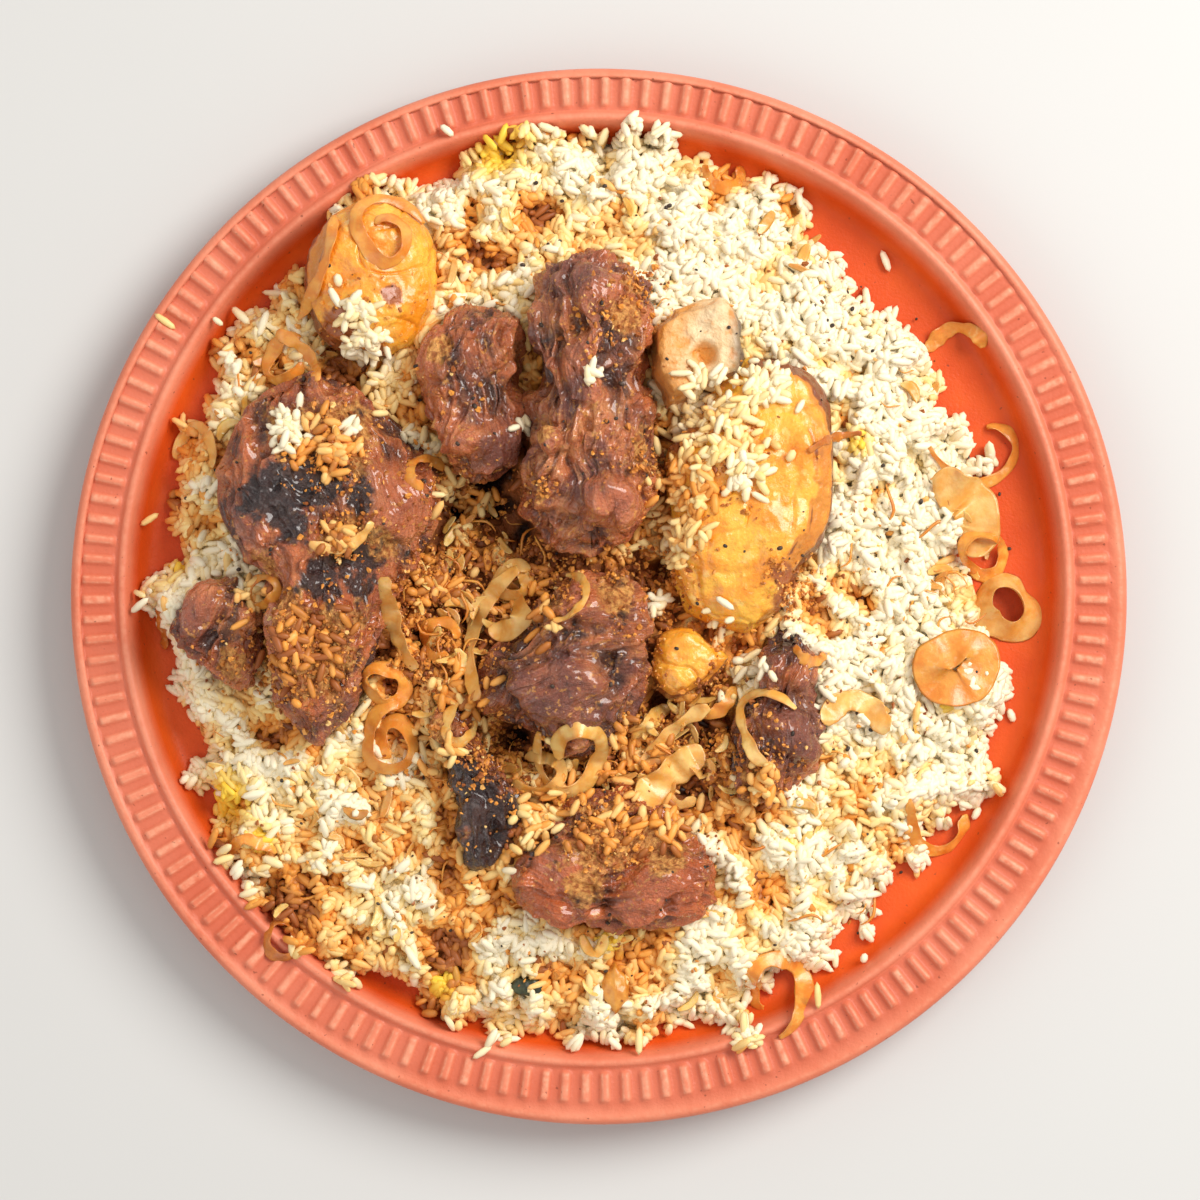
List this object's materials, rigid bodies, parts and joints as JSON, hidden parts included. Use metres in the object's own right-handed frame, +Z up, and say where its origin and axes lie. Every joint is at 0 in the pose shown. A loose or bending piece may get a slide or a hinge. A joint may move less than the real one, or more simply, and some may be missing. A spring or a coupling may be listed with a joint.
{
  "type": "biryani on a clay plate",
  "caption": "Round clay plate with a fluted rim, heaped with spiced rice, braised meat on the bone, potatoes and curls of fried onion.",
  "frame": {"origin": "middle of the plate's flat underside, on the surface it stands on", "axes": "+Z up out of the plate; +X and +Y across the plate, with the bare part of the well on the +X side"},
  "size_m": [0.3, 0.2998, 0.0594],
  "materials": {
    "clay": "hand-made terracotta, satin, fluted rim",
    "rice": "cooked rice grains, moist, cream with golden stains",
    "meat": "braised meat, fibrous, glossy with fat, charred in places",
    "bone": "cut bone with marrow",
    "potato": "golden stewed potato, moist",
    "onion": "crisp fried onion, golden brown",
    "pod": "dark spice pod",
    "raisin": "wrinkled raisin",
    "peel": "orange cooked fruit or vegetable piece"
  },
  "bodies": {
    "root": {"plate": "clay", "rice": "rice", "meat_left": "meat", "meat_low_left": "meat", "meat_flank": "meat", "meat_main": "meat", "meat_centre": "meat", "meat_bottom": "meat", "meat_strip": "meat", "meat_right": "meat", "bone": "bone", "potato_large": "potato", "potato_small": "potato", "potato_back": "potato", "pod": "pod", "raisin": "raisin", "orange_chunk": "peel", "onion_edge_arc": "onion", "onion_hook": "onion", "onion_slab": "onion", "onion_loop": "onion", "onion_boat": "onion", "onion_round": "onion", "onion_tail": "onion", "onion_foot": "onion", "onion_rim_ring": "onion", "onion_small_ring": "onion", "onion_nest": "onion", "onion_centre_curl": "onion", "onion_thin_curl": "onion", "onion_fan": "onion", "onion_right_curl": "onion", "onion_left_ring": "onion", "onion_swirl": "onion", "onion_top_curl": "onion", "onion_left_curl": "onion", "onion_wide_arc": "onion", "onion_twist": "onion", "onion_long": "onion", "onion_strip_upper": "onion", "onion_strip_lower": "onion", "onion_broad": "onion", "onion_thin_left": "onion", "onion_drape": "onion", "onion_low_drape": "onion", "onion_fine_right": "onion", "onion_rim_left": "onion"}
  },
  "joints": []
}
